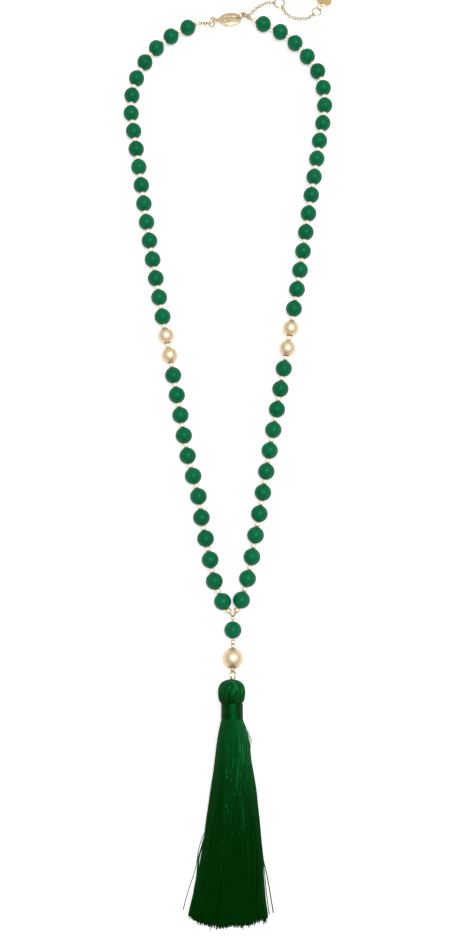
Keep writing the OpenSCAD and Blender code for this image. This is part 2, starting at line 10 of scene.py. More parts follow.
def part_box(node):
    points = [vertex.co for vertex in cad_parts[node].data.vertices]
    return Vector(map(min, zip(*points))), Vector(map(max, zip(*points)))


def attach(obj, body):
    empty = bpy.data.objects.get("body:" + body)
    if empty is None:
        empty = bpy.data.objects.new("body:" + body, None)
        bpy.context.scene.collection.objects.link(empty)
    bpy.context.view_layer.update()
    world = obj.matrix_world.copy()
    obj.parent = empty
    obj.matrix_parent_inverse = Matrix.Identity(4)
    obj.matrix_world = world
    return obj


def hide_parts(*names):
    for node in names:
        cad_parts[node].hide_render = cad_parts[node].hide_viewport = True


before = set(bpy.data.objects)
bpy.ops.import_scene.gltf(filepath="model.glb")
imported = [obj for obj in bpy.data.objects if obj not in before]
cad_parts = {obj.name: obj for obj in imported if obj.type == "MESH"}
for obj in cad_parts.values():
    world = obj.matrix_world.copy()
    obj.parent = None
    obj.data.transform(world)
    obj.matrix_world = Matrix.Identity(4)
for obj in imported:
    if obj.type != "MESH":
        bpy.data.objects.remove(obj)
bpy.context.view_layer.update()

# Tabletop, lights and camera
# The necklace lies on a white light table, which glows a little and so keeps shadows pale, in a
# white room under one large soft lamp. The camera looks down on it from over the drop.
scene = bpy.context.scene
scene.view_settings.view_transform = "Standard"
scene.view_settings.look = "None"

camera_data = bpy.data.cameras.new("camera")
camera_data.sensor_fit = "VERTICAL"
camera_data.sensor_height = 36
camera_data.lens = 39.79
camera_data.clip_start = 0.01
camera = bpy.data.objects.new("camera", camera_data)
camera.location = (0, -0.149, 0.5166)
camera.rotation_euler = (0.2216, 0, 0)
scene.collection.objects.link(camera)
scene.camera = camera

world = bpy.data.worlds.new("room")
scene.world = world
world.use_nodes = True
sky = world.node_tree
direction = sky.nodes.new("ShaderNodeTexCoord")
brighter_way = sky.nodes.new("ShaderNodeVectorMath")
brighter_way.operation = "DOT_PRODUCT"
brighter_way.inputs[1].default_value = (0.03, 0.28, 0.96)
toward = sky.nodes.new("ShaderNodeMapRange")
toward.inputs["From Min"].default_value = -0.4
toward.inputs["From Max"].default_value = 0.85
shade = sky.nodes.new("ShaderNodeValToRGB")
shade.color_ramp.elements[0].color = (0.36, 0.35, 0.34, 1)
shade.color_ramp.elements[1].color = (1, 1, 1, 1)
shade.color_ramp.elements.new(0.55).color = (0.8, 0.79, 0.78, 1)
sky.links.new(direction.outputs["Generated"], brighter_way.inputs[0])
sky.links.new(brighter_way.outputs["Value"], toward.inputs["Value"])
sky.links.new(toward.outputs["Result"], shade.inputs["Fac"])
sky.links.new(shade.outputs["Color"], sky.nodes["Background"].inputs["Color"])
sky.nodes["Background"].inputs["Strength"].default_value = 0.8

lamp_data = bpy.data.lights.new("lamp", "AREA")
lamp_data.shape = "DISK"
lamp_data.size = 0.55
lamp_data.energy = 7.6
lamp = bpy.data.objects.new("lamp", lamp_data)
lamp.location = (0.18, -0.06, 1.05)
lamp.rotation_euler = Vector(lamp.location).to_track_quat("Z", "Y").to_euler()
scene.collection.objects.link(lamp)


def only(piece):
    """Selects one piece and nothing else, for the operators."""
    bpy.ops.object.select_all(action="DESELECT")
    piece.select_set(True)
    bpy.context.view_layer.objects.active = piece


def finish(name, **plain):
    """A new material with plain values on its shader's own sockets."""
    material = bpy.data.materials.new(name)
    material.use_nodes = True
    shader = material.node_tree.nodes["Principled BSDF"]
    for socket, value in plain.items():
        shader.inputs[socket.replace("_", " ")].default_value = value
    return material


TABLE_WIDTH = 30
bpy.ops.object.select_all(action="DESELECT")
bpy.ops.mesh.primitive_plane_add(size=TABLE_WIDTH)
tabletop = bpy.context.object
tabletop.name = "tabletop"
white_table = finish("white_table", Base_Color=(0.6, 0.6, 0.597, 1), Roughness=0.8, Specular_IOR_Level=0.2,
                     Emission_Color=(1, 1, 0.995, 1), Emission_Strength=0.5)
tabletop.data.materials.append(white_table)


# Green beads
# Sixty matte green resin beads of 8.4 mm, each drilled through and strung with a small metal ball on
# either side of it. The drop has one more.
BEAD = 0.0084
BEAD_LIFT = Vector((0, 0, 0.00006))
BORE = 0.0013
BEAD_RIM = 0.00025


def soft_form(name):
    """The merged vertices of a CAD node's loose solids, one list of points for each solid."""
    form = bmesh.new()
    form.from_mesh(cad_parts[name].data)
    bmesh.ops.remove_doubles(form, verts=form.verts, dist=1e-6)
    left = set(form.verts)
    solids = []
    for first in form.verts:
        if first not in left:
            continue
        left.discard(first)
        group = [first]
        for vert in group:
            for edge in vert.link_edges:
                other = edge.other_vert(vert)
                if other in left:
                    left.discard(other)
                    group.append(other)
        solids.append(np.array([vert.co[:] for vert in group]))
    form.free()
    return solids


def middle(points):
    """The middle of the box round a solid's points."""
    return Vector((points.min(axis=0) + points.max(axis=0)) / 2)


def strand_line(*names):
    """The beads and spacers of one strand in order from the drop up, as (node name, middle)."""
    left = [(name, middle(points)) for name in names for points in soft_form(name)]
    line = [min(left, key=lambda item: item[1].y)]
    left.remove(line[0])
    while left:
        line.append(min(left, key=lambda item: (item[1] - line[-1][1]).length))
        left.remove(line[-1])
    return line


left_line = strand_line("green_beads_left", "spacers_left", "gold_bead_lower_left", "gold_bead_upper_left")
right_line = strand_line("green_beads_right", "spacers_right", "gold_bead_lower_right",
                         "gold_bead_upper_right")
STRANDS = (("left", left_line), ("right", right_line))
dice = random.Random(7)


def places_on(line, name):
    """Where each bead of a node sits: its middle, its hole along the strand, and a turn of its own."""
    places = []
    for i, (node, point) in enumerate(line):
        if node == name:
            way = line[min(i + 1, len(line) - 1)][1] - line[max(i - 1, 0)][1]
            turn = way.to_track_quat("Z", "Y").to_matrix().to_4x4()
            spun = Matrix.Rotation(dice.uniform(0, math.tau), 4, "Z")
            places.append(Matrix.Translation(point + BEAD_LIFT) @ turn @ spun)
    return places


def turned(name, profile, steps):
    """A closed profile of (radius, height) points, spun round Z."""
    mesh = bpy.data.meshes.new(name)
    rounds = [(i, (i + 1) % len(profile)) for i in range(len(profile))]
    mesh.from_pydata([(r, 0, z) for r, z in profile], rounds, [])
    piece = bpy.data.objects.new(name, mesh)
    scene.collection.objects.link(piece)
    only(piece)
    bpy.ops.object.mode_set(mode="EDIT")
    bpy.ops.mesh.select_all(action="SELECT")
    bpy.ops.mesh.spin(steps=steps, angle=math.tau, center=(0, 0, 0), axis=(0, 0, 1))
    bpy.ops.mesh.select_all(action="SELECT")
    bpy.ops.mesh.remove_doubles(threshold=1e-6)
    bpy.ops.mesh.normals_make_consistent(inside=False)
    bpy.ops.object.mode_set(mode="OBJECT")
    bpy.ops.object.shade_smooth_by_angle(angle=math.radians(40))
    return piece


def drilled(d, bore, rim, arc_points, length=1.0):
    """The profile of a drilled ball with a rounded rim at each mouth, its ends cut flat to a length."""
    r = d / 2
    start = max(math.asin((bore / 2 + rim) / r), math.acos(min(1, length / d)))
    arc = [math.pi / 2 - start - (math.pi - 2 * start) * i / arc_points for i in range(arc_points + 1)]
    ball = [(r * math.cos(a), r * math.sin(a)) for a in arc]
    mouth = ball[0][1]
    lip = [(bore / 2 + rim * 0.4, mouth - rim * 0.05), (bore / 2, mouth - rim * 0.6)]
    if ball[0][0] > bore / 2 + rim * 2:
        lip.insert(0, (ball[0][0] - rim, mouth + rim * 0.02))
    return lip[::-1] + ball + [(x, -z) for x, z in lip]


def mark(piece, name, value):
    """Gives a piece's points an attribute; value is a number or a function of the point."""
    points = piece.data.vertices
    numbers = [value(p.co) if callable(value) else value for p in points]
    made = piece.data.attributes.get(name) or piece.data.attributes.new(name, "FLOAT", "POINT")
    made.data.foreach_set("value", numbers)


def copied(name, model, places):
    """Copies of one model at each place as one piece, each with its own tone and the first one marked."""
    made = []
    for place in places:
        one = model.copy()
        one.data = model.data.copy()
        one.data.transform(place)
        scene.collection.objects.link(one)
        mark(one, "tone_and_light", dice.random())
        mark(one, "first", float(not made))
        made.append(one)
    bpy.ops.object.select_all(action="DESELECT")
    for one in made:
        one.select_set(True)
    bpy.context.view_layer.objects.active = made[0]
    if len(made) > 1:
        bpy.ops.object.join()
    made[0].name = name
    made[0].data.name = name
    return made[0]


def settle(piece, material, slot, *nodes, body="necklace"):
    """Gives a piece its finish and lets it ride in place of its CAD nodes."""
    piece.data.materials.clear()
    piece.data.materials.append(material)
    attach(piece, body)
    if nodes:
        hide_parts(*nodes)


# The grain group gives a value between Low and High and a bump, both from one fine noise
grain = bpy.data.node_groups.new("surface_grain", "ShaderNodeTree")
for name, kind in (("Vector", "NodeSocketVector"), ("Scale", "NodeSocketFloat"), ("Low", "NodeSocketFloat"),
                   ("High", "NodeSocketFloat"), ("Depth", "NodeSocketFloat")):
    grain.interface.new_socket(name=name, in_out="INPUT", socket_type=kind)
grain.interface.new_socket(name="Value", in_out="OUTPUT", socket_type="NodeSocketFloat")
grain.interface.new_socket(name="Normal", in_out="OUTPUT", socket_type="NodeSocketVector")
grain_in = grain.nodes.new("NodeGroupInput")
grain_out = grain.nodes.new("NodeGroupOutput")
grain_noise = grain.nodes.new("ShaderNodeTexNoise")
grain_noise.inputs["Detail"].default_value = 4
grain_range = grain.nodes.new("ShaderNodeMapRange")
grain_range.inputs["From Min"].default_value = 0.3
grain_range.inputs["From Max"].default_value = 0.7
grain_bump = grain.nodes.new("ShaderNodeBump")
for a, b in ((grain_in.outputs["Vector"], grain_noise.inputs["Vector"]),
             (grain_in.outputs["Scale"], grain_noise.inputs["Scale"]),
             (grain_noise.outputs["Fac"], grain_range.inputs["Value"]),
             (grain_in.outputs["Low"], grain_range.inputs["To Min"]),
             (grain_in.outputs["High"], grain_range.inputs["To Max"]),
             (grain_noise.outputs["Fac"], grain_bump.inputs["Height"]),
             (grain_in.outputs["Depth"], grain_bump.inputs["Distance"]),
             (grain_range.outputs["Result"], grain_out.inputs["Value"]),
             (grain_bump.outputs["Normal"], grain_out.inputs["Normal"])):
    grain.links.new(a, b)


def grained(material, scale, low, high, depth):
    """Puts the grain group on a material's roughness and normal."""
    tree = material.node_tree
    shader = tree.nodes["Principled BSDF"]
    place = tree.nodes.new("ShaderNodeTexCoord")
    group = tree.nodes.new("ShaderNodeGroup")
    group.node_tree = grain
    group.inputs["Scale"].default_value = scale
    group.inputs["Low"].default_value = low
    group.inputs["High"].default_value = high
    group.inputs["Depth"].default_value = depth
    tree.links.new(place.outputs["Object"], group.inputs["Vector"])
    tree.links.new(group.outputs["Value"], shader.inputs["Roughness"])
    tree.links.new(group.outputs["Normal"], shader.inputs["Normal"])


def matt_edged(material, level):
    """Sets the shine seen head on, and lets it go where the surface turns away, as on a matt skin."""
    tree = material.node_tree
    facing = tree.nodes.new("ShaderNodeLayerWeight")
    facing.inputs["Blend"].default_value = 0.5
    less = tree.nodes.new("ShaderNodeMapRange")
    less.inputs["From Min"].default_value = 0.3
    less.inputs["To Min"].default_value = level
    less.inputs["To Max"].default_value = 0
    tree.nodes["Principled BSDF"].inputs["Specular IOR Level"].default_value = level
    tree.links.new(facing.outputs["Facing"], less.inputs["Value"])
    tree.links.new(less.outputs["Result"], tree.nodes["Principled BSDF"].inputs["Specular IOR Level"])


def rim_shaded(material, bare, shaded):
    """Sets how metallic a plating is where it is bare, and how metallic where the rim attribute marks
    painted brown shade round its holes.
    """
    tree = material.node_tree
    read = tree.nodes.new("ShaderNodeAttribute")
    read.attribute_name = "rim"
    shine = tree.nodes.new("ShaderNodeMapRange")
    shine.inputs["To Min"].default_value = bare
    shine.inputs["To Max"].default_value = shaded
    tree.links.new(read.outputs["Fac"], shine.inputs["Value"])
    tree.links.new(shine.outputs["Result"], tree.nodes["Principled BSDF"].inputs["Metallic"])


def blended(material, first, second, source):
    """Mixes two colours by an attribute's name or by a socket, and returns the colour socket."""
    tree = material.node_tree
    mix = tree.nodes.new("ShaderNodeMix")
    mix.data_type = "RGBA"
    for socket, colour in (("A", first), ("B", second)):
        at = next(s for s in mix.inputs if s.name == socket and s.type == "RGBA")
        if isinstance(colour, tuple):
            at.default_value = (*colour, 1)
        else:
            tree.links.new(colour, at)
    if isinstance(source, str):
        read = tree.nodes.new("ShaderNodeAttribute")
        read.attribute_name = source
        source = read.outputs["Fac"]
    tree.links.new(source, mix.inputs["Factor"])
    colour = next(s for s in mix.outputs if s.type == "RGBA")
    tree.links.new(colour, tree.nodes["Principled BSDF"].inputs["Base Color"])
    return colour


green_resin = finish("green_resin", Specular_Tint=(0.3, 0.95, 0.75, 1))
matt_edged(green_resin, level=0.22)
grained(green_resin, scale=900, low=0.32, high=0.4, depth=0.00001)
blended(green_resin, (0.0003, 0.092, 0.032), (0.0005, 0.116, 0.041), "tone_and_light")

bead_model = turned("green_bead", drilled(BEAD, BORE, BEAD_RIM, arc_points=18), steps=32)
for side, line in STRANDS:
    node = "green_beads_" + side
    beads = copied("green_beads_strung_" + side, bead_model, places_on(line, node))
    settle(beads, green_resin, "bead", node)

# Spacers
# Pale gold plated balls of about 3 mm with flat ends, drilled wide, with a pearly skin and painted brown
# shade round the mouths of the hole. The one nearest the drop in each strand is a deeper gold.
SPACER = 0.0032
SPACER_LENGTH = 0.00225
SPACER_BORE = 0.0015
SPACER_RIM = 0.00012


def hole_shade_mark(full, none):
    """A function for mark, for painted shade round a hole: 1 within the full radius of the hole's axis, 0
    beyond the other one.
    """
    return lambda p: min(1, max(0, (none - math.hypot(p.x, p.y)) / (none - full)))


pearl_gold = finish("pearl_gold")
grained(pearl_gold, scale=1400, low=0.3, high=0.42, depth=0.000004)
pearl = blended(pearl_gold, (0.93, 0.84, 0.69), (0.86, 0.69, 0.43), "first")
# Brown round the mouths of the hole is painted shade, less metallic, by the rim attribute
blended(pearl_gold, pearl, (0.5, 0.29, 0.13), "rim")
rim_shaded(pearl_gold, bare=0.65, shaded=0.2)

spacer_profile = drilled(SPACER, SPACER_BORE, SPACER_RIM, arc_points=12, length=SPACER_LENGTH)
spacer_model = turned("spacer", spacer_profile, steps=24)
# The rim attribute marks the painted brown shade round each mouth of the hole
mark(spacer_model, "rim", hole_shade_mark(full=0.00075, none=0.00115))
for side, line in STRANDS:
    node = "spacers_" + side
    spacers = copied("spacers_strung_" + side, spacer_model, places_on(line, node))
    settle(spacers, pearl_gold, "wire", node)

# Gold beads
# Two hollow satin-gold beads in each strand and a larger one in the drop, with a turned dish at each mouth
# of the hole, where brown shade is painted.
satin_gold = finish("satin_gold", Metallic=1.0)
grained(satin_gold, scale=2600, low=0.42, high=0.54, depth=0.00001)
# The rim attribute gives painted brown shade in each dish, less metallic
rim_shaded(satin_gold, bare=1.0, shaded=0.1)
blended(satin_gold, (0.78, 0.63, 0.43), (0.42, 0.2, 0.07), "rim")


def dished(d, bore, dish, arc_points):
    """The profile of a ball with a round-bottomed dish at each mouth of its hole."""
    r = d / 2
    edge = dish / 2
    start = math.asin(edge / r)
    arc = [math.pi / 2 - start - (math.pi - 2 * start) * i / arc_points for i in range(arc_points + 1)]
    ball = [(r * math.cos(a), r * math.sin(a)) for a in arc]
    top = ball[0][1]
    bowl = [(bore / 2, top - edge * 0.55), (bore / 2 + (edge - bore / 2) * 0.35, top - edge * 0.5),
            (bore / 2 + (edge - bore / 2) * 0.75, top - edge * 0.28), (edge * 0.96, top - edge * 0.04)]
    return bowl + ball + [(x, -z) for x, z in bowl[::-1]]


GOLD_DISH = 0.0024
gold_model = turned("gold_bead", dished(BEAD, BORE, GOLD_DISH, arc_points=20), steps=40)
# The rim attribute marks the painted brown shade in each dish
mark(gold_model, "rim", hole_shade_mark(full=0.0013, none=0.0019))
for side, line in STRANDS:
    for level in ("lower", "upper"):
        node = f"gold_bead_{level}_{side}"
        settle(copied(node + "_turned", gold_model, places_on(line, node)), satin_gold, "gold_bead", node)

# Beading thread
# One braided thread runs through both strands, and between them through the loop the drop hangs
# from. It shows only there and in the hairline gaps between beads.
THREAD = 0.0006
DROP_HOOK = Vector((0.0014, -0.10405, 0.0035))


def curved(points, parts):
    """A smooth line through points, with parts steps from each to the next."""
    line = []
    for i in range(len(points) - 1):
        a, b = points[i], points[i + 1]
        before = points[i - 1] if i else a
        after = points[i + 2] if i + 2 < len(points) else b
        for j in range(parts):
            t = j / parts
            line.append(0.5 * (2 * a + (b - before) * t + (2 * before - 5 * a + 4 * b - after) * t ** 2
                               + (3 * a - before - 3 * b + after) * t ** 3))
    return line + [points[-1]]


def wire(name, paths, thickness, sides=8, closed=False, tones_and_light=None):
    """Round wire or thread along each path, with a thickness and perhaps a tone for each of its points,
    which can carry painted light.
    """
    curve = bpy.data.curves.new(name, "CURVE")
    curve.dimensions = "3D"
    curve.bevel_mode = "ROUND"
    curve.bevel_depth = 1
    curve.bevel_resolution = (sides - 4) // 2
    curve.use_fill_caps = not closed
    for i, path in enumerate(paths):
        spline = curve.splines.new("POLY")
        spline.points.add(len(path) - 1)
        spline.points.foreach_set("co", [c for p in path for c in (p[0], p[1], p[2], 1)])
        size = thickness if isinstance(thickness, float) else thickness[i]
        sizes = [size / 2] * len(path) if isinstance(size, float) else [s / 2 for s in size]
        spline.points.foreach_set("radius", sizes)
        spline.use_cyclic_u = closed
    piece = bpy.data.objects.new(name, curve)
    scene.collection.objects.link(piece)
    only(piece)
    bpy.ops.object.convert(target="MESH")
    piece = bpy.context.object
    if tones_and_light:
        # The end caps come before all the tubes, and from the last path to the first
        numbers = [tone_and_light for row in tones_and_light[::-1] for tone_and_light in [row[-1]] * sides + [row[0]] * sides]
        numbers += [tone_and_light for row in tones_and_light for value in row for tone_and_light in [value] * sides]
        piece.data.attributes.new("tone_and_light", "FLOAT", "POINT").data.foreach_set("value", numbers)
    bpy.ops.object.mode_set(mode="EDIT")
    bpy.ops.mesh.select_all(action="SELECT")
    bpy.ops.mesh.remove_doubles(threshold=1e-6)
    bpy.ops.object.mode_set(mode="OBJECT")
    bpy.ops.object.shade_smooth_by_angle(angle=math.radians(50))
    return piece


thread_cotton = finish("beading_thread", Base_Color=(0.33, 0.17, 0.05, 1), Specular_IOR_Level=0.2)
grained(thread_cotton, scale=5000, low=0.6, high=0.8, depth=0.00004)
thread_points = [point for node, point in left_line[::-1]]
left_mouth = thread_points[-1].lerp(DROP_HOOK, 0.3)
right_mouth = right_line[0][1].lerp(DROP_HOOK, 0.3)
thread_points += [left_mouth, DROP_HOOK, right_mouth] + [point for node, point in right_line]
settle(wire("thread_run", [curved(thread_points, parts=3)], THREAD), thread_cotton, "thread", "thread")

# Jump rings and end links
# Round pale gold wire bent to rings with a hairline cut. The thread's ends go to small loops,
# which hang in the rings by short links.


def lie_of(points):
    """The middle, the axes from the longest to the shortest, and the three sizes of a solid."""
    spread = points - points.mean(axis=0)
    axes = np.linalg.svd(spread, full_matrices=False)[2]
    along = points @ axes.T
    low, high = along.min(axis=0), along.max(axis=0)
    return Vector((low + high) / 2 @ axes), [Vector(axis) for axis in axes], high - low


def ring_path(centre, across, upward, r, start=0.0, sweep=math.tau, steps=48, stretch=0.0):
    """Points of a ring, or of an oval whose two halves stand stretch apart along across."""
    path = []
    for i in range(steps + 1):
        a = start + sweep * i / steps
        pull = across * math.copysign(stretch / 2, math.cos(a)) if abs(math.cos(a)) > 1e-6 else Vector()
        path.append(centre + across * (r * math.cos(a)) + upward * (r * math.sin(a)) + pull)
    return path


RING_CUT = 0.00006


def jump_ring(node, thickness, cut_at):
    """A cut ring in the place of a node that is one round ring."""
    centre, axes, sizes = lie_of(soft_form(node)[0])
    r = (sizes[0] + sizes[1]) / 4 - thickness / 2
    gap = RING_CUT / r
    path = ring_path(centre, axes[0], axes[1], r, cut_at + gap / 2, math.tau - gap, steps=56)
    settle(wire(node + "_wire", [path], thickness, sides=14), bright_gold, "wire", node)


LINK_WIRE = 0.0004


def links(name, solids, thickness, wider=0.0):
    """Closed chain links in the places of the solids, along the middle of each one's wire or wider."""
    paths = []
    for points in solids:
        centre, axes, sizes = lie_of(points)
        r = sizes[1] / 2 - LINK_WIRE / 2 + wider
        paths.append(ring_path(centre, axes[0], axes[1], r, steps=26, stretch=sizes[0] - sizes[1])[:-1])
    return wire(name, paths, thickness, closed=True)


def joined(name, *pieces):
    """Joins pieces into the first of them, under a new name."""
    bpy.ops.object.select_all(action="DESELECT")
    for piece in pieces:
        piece.select_set(True)
    bpy.context.view_layer.objects.active = pieces[0]
    bpy.ops.object.join()
    pieces[0].name = name
    return pieces[0]


def eye_paths(centre, away, sideways, r, stem_end):
    """A loop of wire with a small opening by its neck, and the stem that it ends in."""
    start, opening = math.pi + 0.12, 0.3
    loop = ring_path(centre, away, sideways, r, start, math.tau - opening, steps=36)
    return [loop, [centre - away * r, stem_end]]


bright_gold = finish("bright_gold", Metallic=1.0, Base_Color=(0.64, 0.52, 0.34, 1))
grained(bright_gold, scale=1400, low=0.2, high=0.3, depth=0.000004)
RING_WIRE = 0.0008
jump_ring("clasp_ring", RING_WIRE, cut_at=1.1)
jump_ring("end_ring", RING_WIRE, cut_at=2.4)
END_WIRE = 0.00058
END_WIDER = 0.00012
END_LOOP = 0.0008
for side, line in STRANDS:
    node = "end_links_" + side
    last = line[-1][1]
    solids = sorted(soft_form(node), key=lambda points: (middle(points) - last).length)
    centre, axes, sizes = lie_of(solids[0])
    away = axes[0] if (centre - last).dot(axes[0]) > 0 else -axes[0]
    loop_centre = centre + away * (sizes[0] / 2 - END_LOOP - LINK_WIRE / 2)
    eye = eye_paths(loop_centre, away, axes[1], END_LOOP, centre - away * sizes[0] / 2)
    eye = wire("end_eye", eye, END_WIRE)
    piece = joined("end_links_wire_" + side, eye, links("end_chain", solids[1:], END_WIRE, END_WIDER))
    settle(piece, bright_gold, "wire", node)

# Clasp
# A cast lobster clasp of polished pale gold with domed faces: a drop-shaped body with a hook and a
# round tail, a sprung lever with a thumb tab that shuts against the hook's tip, and the lever's pin.
polished_gold = finish("polished_gold", Metallic=1.0, Base_Color=(0.74, 0.59, 0.385, 1))
grained(polished_gold, scale=900, low=0.24, high=0.34, depth=0.000006)


def cast(name, node, grid, rounds):
    """A cast copy of a node's solid, with its edges rounded off all over."""
    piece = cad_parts[node].copy()
    piece.data = piece.data.copy()
    piece.name = name
    for key in list(piece.keys()):
        del piece[key]
    piece.parent = None
    scene.collection.objects.link(piece)
    only(piece)
    bpy.ops.object.mode_set(mode="EDIT")
    bpy.ops.mesh.select_all(action="SELECT")
    bpy.ops.mesh.remove_doubles(threshold=1e-6)
    bpy.ops.object.mode_set(mode="OBJECT")
    remesh = piece.modifiers.new("remesh", "REMESH")
    remesh.mode = "VOXEL"
    remesh.voxel_size = grid
    bpy.ops.object.modifier_apply(modifier=remesh.name)
    soften = piece.modifiers.new("soften", "SMOOTH")
    soften.factor = 0.5
    soften.iterations = rounds
    bpy.ops.object.modifier_apply(modifier=soften.name)
    bpy.ops.object.shade_smooth()
    return piece


CLASP_TAIL = 0.0022
DOME = 0.24
clasp_middle, clasp_axes, clasp_sizes = lie_of(soft_form("clasp_body")[0])
to_hook = clasp_axes[0] if clasp_axes[0].x > 0 else -clasp_axes[0]


def dome_at(point):
    """How much of the clasp's thickness is left at a point, from 1 in its middle to less at its outline."""
    out = Vector(point) - clasp_middle
    half = (clasp_sizes[0] - CLASP_TAIL) / 2
    along = out.dot(to_hook) - CLASP_TAIL / 2
    reach = (along / half) ** 2 + (out.dot(clasp_axes[1]) / (clasp_sizes[1] / 2)) ** 2
    tail = min(1, max(0, (along / half + 1) / 0.25))
    return 1 - DOME * min(1, reach) ** 2 * tail * tail * (3 - 2 * tail)


def domed(piece):
    """Lowers a flat piece of the clasp towards the outline, on both faces."""
    for vert in piece.data.vertices:
        height = (vert.co - clasp_middle).dot(clasp_axes[2])
        vert.co += clasp_axes[2] * height * (dome_at(vert.co) - 1)
    return piece


clasp_body = domed(cast("clasp_body_cast", "clasp_body", grid=0.00009, rounds=20))
settle(clasp_body, polished_gold, "clasp", "clasp_body")
clasp_lever = domed(cast("clasp_lever_cast", "clasp_lever", grid=0.00007, rounds=14))
settle(clasp_lever, polished_gold, "clasp", "clasp_lever", body="lever")
pin_points = soft_form("clasp_pivot")[0]
pin_low, pin_high = pin_points.min(axis=0), pin_points.max(axis=0)
pin_r = (pin_high[0] - pin_low[0]) / 2
pin_h = pin_high[2] - pin_low[2]
pin_cut = pin_h * (1 - dome_at((pin_low + pin_high) / 2)) / 2
pin_h -= 2 * pin_cut
rivet = turned("clasp_rivet", [(0, 0), (pin_r * 0.7, 0), (pin_r, pin_r * 0.3), (pin_r, pin_h - pin_r * 0.3),
                               (pin_r * 0.7, pin_h), (0, pin_h)], steps=24)
rivet.data.transform(Matrix.Translation((*(pin_low[:2] + pin_high[:2]) / 2, pin_low[2] + pin_cut)))
settle(rivet, polished_gold, "clasp", "clasp_pivot")

# Extender
# A short cable chain of fine oval links, with a ring half way and one at its end, so that the
# clasp can hook in at three lengths.
CHAIN_WIRE = 0.00044
LAST_RING_WIRE = 0.00065
for node in ("extender_chain_inner", "extender_chain_outer"):
    settle(links(node + "_wire", soft_form(node), CHAIN_WIRE), bright_gold, "wire", node)
jump_ring("extender_ring_inner", RING_WIRE, cut_at=0.6)
jump_ring("extender_ring_outer", LAST_RING_WIRE, cut_at=4.0)

# Tag
# A plain round tag stamped from sheet, with rolled edges and a punched hole, that hangs from the
# extender's last ring by a link of its own.
TAG_WIRE = 0.00055
TAG_HOLE = 0.0015
TAG_HOLE_IN = 0.00125
jump_ring("tag_link", TAG_WIRE, cut_at=3.3)
tag_points = soft_form("tag")[0]
tag_middle = middle(tag_points)
_, tag_axes, tag_sizes = lie_of(tag_points)
tag_up = tag_axes[2] if tag_axes[2].z > 0 else -tag_axes[2]
tag_r = max(tag_sizes) / 2
tag_half = tag_sizes[2] / 2
tag_edge = tag_half * 0.45
to_hole = middle(soft_form("tag_link")[0]) - tag_middle
to_hole = (to_hole - tag_up * to_hole.dot(tag_up)).normalized()
tag = turned("tag_stamped", [(0, tag_half * 0.78), (tag_r * 0.8, tag_half * 0.8), (tag_r * 0.88, tag_half),
                             (tag_r - tag_edge, tag_half), (tag_r, tag_half - tag_edge),
                             (tag_r, tag_edge - tag_half), (tag_r - tag_edge, -tag_half),
                             (tag_r * 0.88, -tag_half), (tag_r * 0.8, -tag_half * 0.8),
                             (0, -tag_half * 0.78)], steps=72)
bpy.ops.object.select_all(action="DESELECT")
bpy.ops.mesh.primitive_cylinder_add(vertices=32, radius=TAG_HOLE / 2, depth=2 * TAG_HOLE,
                                    location=(tag_r - TAG_HOLE_IN, 0, 0))
punch = bpy.context.object
hole = tag.modifiers.new("hole", "BOOLEAN")
hole.object = punch
hole.operation = "DIFFERENCE"
only(tag)
bpy.ops.object.modifier_apply(modifier=hole.name)
bpy.data.objects.remove(punch)
bpy.ops.object.shade_smooth_by_angle(angle=math.radians(35))
tag_side = tag_up.cross(to_hole)
tag.data.transform(Matrix.Translation(tag_middle)
                   @ Matrix((to_hole, tag_side, tag_up)).transposed().to_4x4())
tag_gold = finish("tag_gold", Metallic=1.0, Base_Color=(0.78, 0.57, 0.28, 1))
grained(tag_gold, scale=1200, low=0.22, high=0.34, depth=0.000008)
settle(tag, tag_gold, "clasp", "tag")

# Drop
# A green bead and a larger gold one, each on a wire pin with an eye turned at both ends. The eyes
# hang in each other, and the lowest holds the tassel's ring.
EYE = 0.0011
PIN = 0.00055
PIN_HALF = 0.00025
TASSEL_RING_TURN = 60

# Each pin with the turns of its upper and its lower eye, in degrees out of the flat
PINS = (("green_drop_pin", 58, 40), ("gold_drop_pin", 130, 90 - TASSEL_RING_TURN))
for node, upper_turn, lower_turn in PINS:
    centre, axes, sizes = lie_of(soft_form(node)[0])
    down = axes[0] if axes[0].y < 0 else -axes[0]
    level = Vector((1, 0, 0))
    upright = level.cross(down).normalized()
    if upright.z < 0:
        upright = -upright
    reach = sizes[0] / 2 - EYE - PIN_HALF
    paths = []
    for away, turn in ((-down, upper_turn), (down, lower_turn)):
        a = math.radians(turn)
        sideways = level * math.cos(a) + upright * math.sin(a)
        paths += eye_paths(centre + away * reach, away, sideways, EYE, centre)
    settle(wire(node + "_wire", paths, PIN, sides=10), bright_gold, "wire", node)

DROP_GOLD = 0.01
DROP_DISH = 0.0032
drop_model = turned("gold_drop", dished(DROP_GOLD, BORE, DROP_DISH, arc_points=24), steps=48)
# The rim attribute marks the painted brown shade in the drop's dishes
mark(drop_model, "rim", hole_shade_mark(full=0.002, none=0.0029))
drop_turn = lie_of(soft_form("green_drop_pin")[0])[1][0].to_track_quat("Z", "Y").to_matrix().to_4x4()
for node, model, material, slot in (("green_drop_bead", bead_model, green_resin, "bead"),
                                    ("gold_drop_bead", drop_model, satin_gold, "gold_bead")):
    place = Matrix.Translation(middle(soft_form(node)[0]) + BEAD_LIFT) @ drop_turn
    settle(copied(node + "_turned", model, [place]), material, slot, node)
for model in (bead_model, spacer_model, gold_model, drop_model):
    bpy.data.objects.remove(model)
jump_ring("tassel_ring", RING_WIRE, cut_at=2.0)

# Tassel
# A hank of dark green silk thread pulled over the ring, folded and bound with the same thread.
# The head bulges over the winding, and the skirt spreads on the table to ragged ends.
silk = finish("silk", Specular_Tint=(0.02, 0.6, 0.06, 1))
matt_edged(silk, level=0.2)
grained(silk, scale=3000, low=0.36, high=0.5, depth=0.00002)
